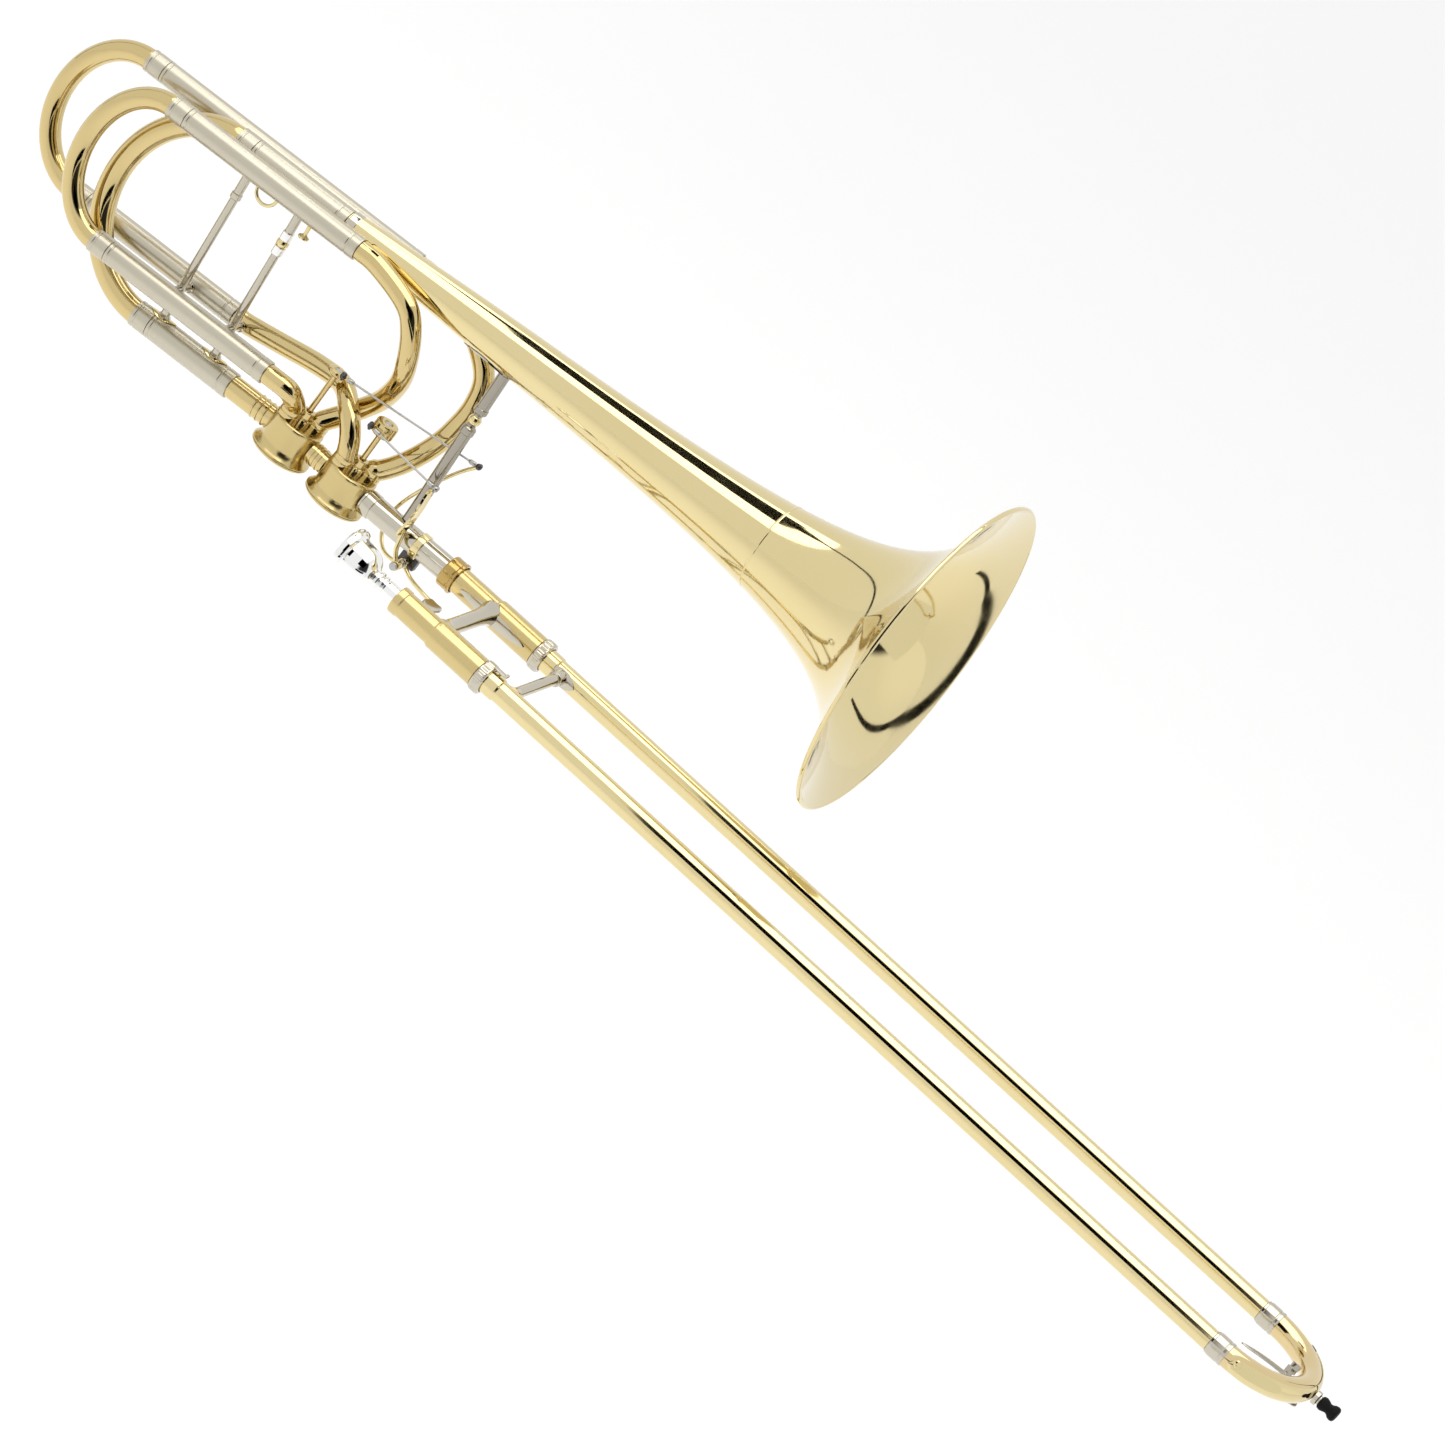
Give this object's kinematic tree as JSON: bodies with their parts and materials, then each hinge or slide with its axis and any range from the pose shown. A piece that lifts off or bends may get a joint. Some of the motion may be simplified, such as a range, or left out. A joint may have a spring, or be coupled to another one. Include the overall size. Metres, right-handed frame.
{
  "type": "trombone",
  "caption": "Bass trombone with a long hand slide, a flared bell, and in-line rotary valve loops worked by a thumb lever and a finger lever.",
  "frame": {"origin": "middle of the hand brace between the cork barrels, where the left hand holds the instrument", "axes": "+X forward along the slide, the way it extends; +Z from the slide up to the bell; +Y from the mouthpiece side to the bell side"},
  "size_m": [1.2808, 0.251, 0.3305],
  "materials": {
    "lacquer": "polished yellow brass under clear lacquer",
    "satin_lacquer": "satin-bright brass under clear lacquer",
    "nickel": "polished nickel silver",
    "silver": "mirror silver plate",
    "steel": "bright steel wire and screws",
    "rubber": "matt black rubber",
    "cork": "natural cork"
  },
  "bodies": {
    "inner_slide": {"cork_barrel_bell_side": "lacquer", "cork_barrel_mouthpiece_side": "lacquer", "inner_tube_bell_side": "nickel", "inner_tube_mouthpiece_side": "nickel", "slide_cork_bell_side": "cork", "slide_cork_mouthpiece_side": "cork", "barrel_end_ring": "nickel", "hand_brace": "nickel"},
    "outer_slide": {"outer_tube_bell_side": "lacquer", "outer_tube_mouthpiece_side": "lacquer", "slide_crook": "lacquer", "outer_brace": "nickel", "crook_guard": "lacquer", "bumper_stem": "nickel", "bumper_tip": "rubber", "water_key_nipple": "nickel", "water_key_saddle": "nickel", "water_key_pin": "steel", "water_key_spring": "steel"},
    "slide_lock": {"slide_lock_ring": "nickel"},
    "water_key": {"water_key_lever": "nickel", "water_key_cork": "cork"},
    "mouthpiece": {"mouthpiece": "silver"},
    "bell_section": {"neckpipe": "nickel", "valve_casing_1": "satin_lacquer", "valve_casing_2": "satin_lacquer", "valve_cap_1": "satin_lacquer", "valve_cap_2": "satin_lacquer", "valve_link": "lacquer", "main_leg": "lacquer", "main_sleeve_lower": "nickel", "main_sleeve_upper": "nickel", "front_sleeve_lower": "nickel", "front_sleeve_upper": "nickel", "rear_sleeve_lower": "nickel", "rear_sleeve_upper": "nickel", "front_loop_inlet": "lacquer", "front_loop_outlet": "lacquer", "rear_loop_inlet": "lacquer", "rear_loop_outlet": "lacquer", "bell": "lacquer", "bell_rim": "lacquer", "bell_brace": "nickel", "tuning_brace_front": "nickel", "tuning_brace_rear": "nickel", "lever_hinge": "nickel", "lever_pin": "steel", "lever_spring": "steel"},
    "bell_lock_nut": {"bell_lock_nut": "lacquer"},
    "main_slide": {"main_slide": "lacquer"},
    "front_slide": {"front_slide": "lacquer"},
    "rear_slide": {"rear_slide": "lacquer"},
    "finger_lever": {"finger_lever": "lacquer"},
    "thumb_lever": {"thumb_lever": "lacquer"},
    "rotor_1": {"rotor_1": "nickel", "stop_arm_1": "lacquer"},
    "rotor_2": {"rotor_2": "nickel", "stop_arm_2": "lacquer"},
    "link_rod_1": {"link_rod_1": "steel"},
    "link_rod_2": {"link_rod_2": "steel"}
  },
  "joints": [
    {"name": "hand_slide", "type": "slide", "parent": "inner_slide", "child": "outer_slide", "axis": [1, 0, 0], "range_m": [0, 0.58]},
    {"name": "slide_lock_turn", "type": "hinge", "parent": "inner_slide", "child": "slide_lock", "pos_m": [0.045, -0.0475, 0], "axis": [1, 0, 0], "range_deg": [-30, 0]},
    {"name": "water_key_press", "type": "hinge", "parent": "outer_slide", "child": "water_key", "pos_m": [0.754, 0.002, -0.0005], "axis": [0, 1, 0], "range_deg": [0, 12], "stiffness_Nm_per_rad": 0.02, "springref_deg": -28.65},
    {"name": "mouthpiece_pull", "type": "slide", "parent": "inner_slide", "child": "mouthpiece", "axis": [-1, 0, 0], "range_m": [0, 0.04]},
    {"name": "bell_section_turn", "type": "hinge", "parent": "inner_slide", "child": "bell_section", "pos_m": [0, 0.0475, 0], "axis": [1, 0, 0], "range_deg": [-8, 8]},
    {"name": "lock_nut_turn", "type": "hinge", "parent": "bell_section", "child": "bell_lock_nut", "pos_m": [-0.0388, 0.0475, 0], "axis": [1, 0, 0], "range_deg": [-180, 180]},
    {"name": "main_slide_pull", "type": "slide", "parent": "bell_section", "child": "main_slide", "axis": [-0.9966, 0, -0.0819], "range_m": [0, 0.04]},
    {"name": "front_slide_pull", "type": "slide", "parent": "bell_section", "child": "front_slide", "axis": [-0.9966, 0, -0.0819], "range_m": [0, 0.04]},
    {"name": "rear_slide_pull", "type": "slide", "parent": "bell_section", "child": "rear_slide", "axis": [-0.9966, 0, -0.0819], "range_m": [0, 0.04]},
    {"name": "finger_lever_press", "type": "hinge", "parent": "bell_section", "child": "finger_lever", "pos_m": [-0.071, 0.0475, -0.017], "axis": [0, -1, 0], "range_deg": [0, 10.2], "stiffness_Nm_per_rad": 0.15, "springref_deg": -14.32},
    {"name": "thumb_lever_press", "type": "hinge", "parent": "bell_section", "child": "thumb_lever", "pos_m": [-0.071, 0.0475, -0.017], "axis": [0, 1, 0], "range_deg": [0, 14.8], "stiffness_Nm_per_rad": 0.15, "springref_deg": -14.32},
    {"name": "rotor_1_turn", "type": "hinge", "parent": "bell_section", "child": "rotor_1", "pos_m": [-0.1385, 0.0475, 0], "axis": [0, 0, 1], "range_deg": [0, 80]},
    {"name": "rotor_2_turn", "type": "hinge", "parent": "bell_section", "child": "rotor_2", "pos_m": [-0.189, 0.0475, 0], "axis": [0, 0, -1], "range_deg": [0, 80]},
    {"name": "link_rod_1_swing", "type": "hinge", "parent": "thumb_lever", "child": "link_rod_1", "pos_m": [-0.081, 0.0345, 0.0435], "axis": [0, -1, 0], "range_deg": [0, 16]},
    {"name": "link_rod_2_swing", "type": "hinge", "parent": "finger_lever", "child": "link_rod_2", "pos_m": [-0.0725, 0.0595, 0.0665], "axis": [0, 1, 0], "range_deg": [0, 12]}
  ],
  "couplings": [
    {"joint": "rotor_1_turn", "follows": "thumb_lever_press", "ratio": 5.4},
    {"joint": "rotor_2_turn", "follows": "finger_lever_press", "ratio": 7.8},
    {"joint": "link_rod_1_swing", "follows": "thumb_lever_press", "ratio": 1.03},
    {"joint": "link_rod_2_swing", "follows": "finger_lever_press", "ratio": 1.08}
  ]
}
